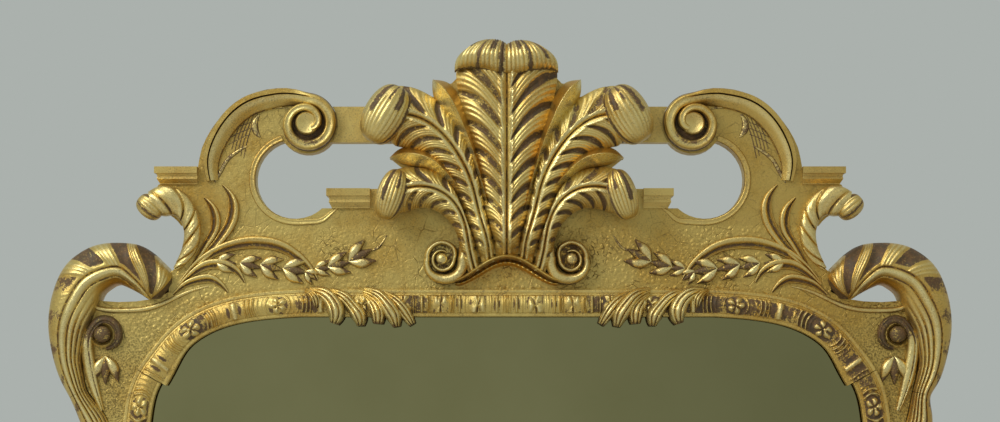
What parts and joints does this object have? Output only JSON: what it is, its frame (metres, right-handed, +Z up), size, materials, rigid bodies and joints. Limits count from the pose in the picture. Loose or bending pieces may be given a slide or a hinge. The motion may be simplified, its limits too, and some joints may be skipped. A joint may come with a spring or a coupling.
{
  "type": "overmantel mirror",
  "caption": "Giltwood overmantel mirror: shaped frame with pierced scrolls, a crest of curled plumes, carved sight mouldings and a plate, hung by two rings on its back.",
  "frame": {"origin": "on the flat back of the top rail, on the frame's middle line, 62 mm above the upper edge of the glass", "axes": "+Z up, +X to the viewer's right, the glass faces -Y, the wall lies on +Y"},
  "size_m": [1.2012, 0.1072, 1.079],
  "materials": {
    "gilt_ground": "gilded and recut ground, matt, worn to red-brown bole in the hollows",
    "gilt_carving": "burnished water gilding on carved wood, rubbed on the ridges, dark in the cuts",
    "pine": "bare aged softwood, planed",
    "iron": "dark wrought iron, slightly rusted",
    "mirror_glass": "old silvered plate, soft and slightly olive"
  },
  "bodies": {
    "frame": {"top_rail": "gilt_ground", "bottom_rail": "gilt_ground", "stile_left": "gilt_ground", "stile_right": "gilt_ground", "crest_board_centre": "gilt_ground", "crest_board_left": "gilt_ground", "crest_board_right": "gilt_ground", "bar_left": "gilt_ground", "bar_right": "gilt_ground", "plume_backing": "gilt_ground", "base_moulding": "gilt_carving", "plume_centre": "gilt_carving", "plume_arch": "gilt_carving", "sight_moulding_top": "gilt_carving", "sight_moulding_bottom": "gilt_carving", "c_scroll_left": "gilt_carving", "outer_ledge_left": "gilt_carving", "inner_ledge_left": "gilt_carving", "plume_upper_left": "gilt_carving", "plume_lower_left": "gilt_carving", "base_volute_left": "gilt_carving", "side_leaf_left": "gilt_carving", "shoulder_scroll_left": "gilt_carving", "side_band_left": "gilt_carving", "foot_scroll_left": "gilt_carving", "sight_moulding_top_left": "gilt_carving", "sight_moulding_left": "gilt_carving", "sight_moulding_bottom_left": "gilt_carving", "leaf_clasp_left": "gilt_carving", "c_scroll_right": "gilt_carving", "outer_ledge_right": "gilt_carving", "inner_ledge_right": "gilt_carving", "plume_upper_right": "gilt_carving", "plume_lower_right": "gilt_carving", "base_volute_right": "gilt_carving", "side_leaf_right": "gilt_carving", "shoulder_scroll_right": "gilt_carving", "side_band_right": "gilt_carving", "foot_scroll_right": "gilt_carving", "sight_moulding_top_right": "gilt_carving", "sight_moulding_right": "gilt_carving", "sight_moulding_bottom_right": "gilt_carving", "leaf_clasp_right": "gilt_carving", "slip_top": "pine", "slip_bottom": "pine", "slip_left": "pine", "slip_right": "pine", "backboard_1": "pine", "backboard_2": "pine", "backboard_3": "pine", "hanger_plate_left": "iron", "hanger_plate_right": "iron", "hanger_screw_left_1": "iron", "hanger_screw_left_2": "iron", "hanger_screw_right_1": "iron", "hanger_screw_right_2": "iron", "mirror_plate": "mirror_glass"},
    "ring_left": {"hanger_ring_left": "iron"},
    "ring_right": {"hanger_ring_right": "iron"}
  },
  "joints": [
    {"name": "ring_left_hinge", "type": "hinge", "parent": "frame", "child": "ring_left", "pos_m": [-0.519, -0.005, -0.105], "axis": [1, 0, 0], "range_deg": [0, 180]},
    {"name": "ring_right_hinge", "type": "hinge", "parent": "frame", "child": "ring_right", "pos_m": [0.519, -0.005, -0.105], "axis": [1, 0, 0], "range_deg": [0, 180]}
  ]
}
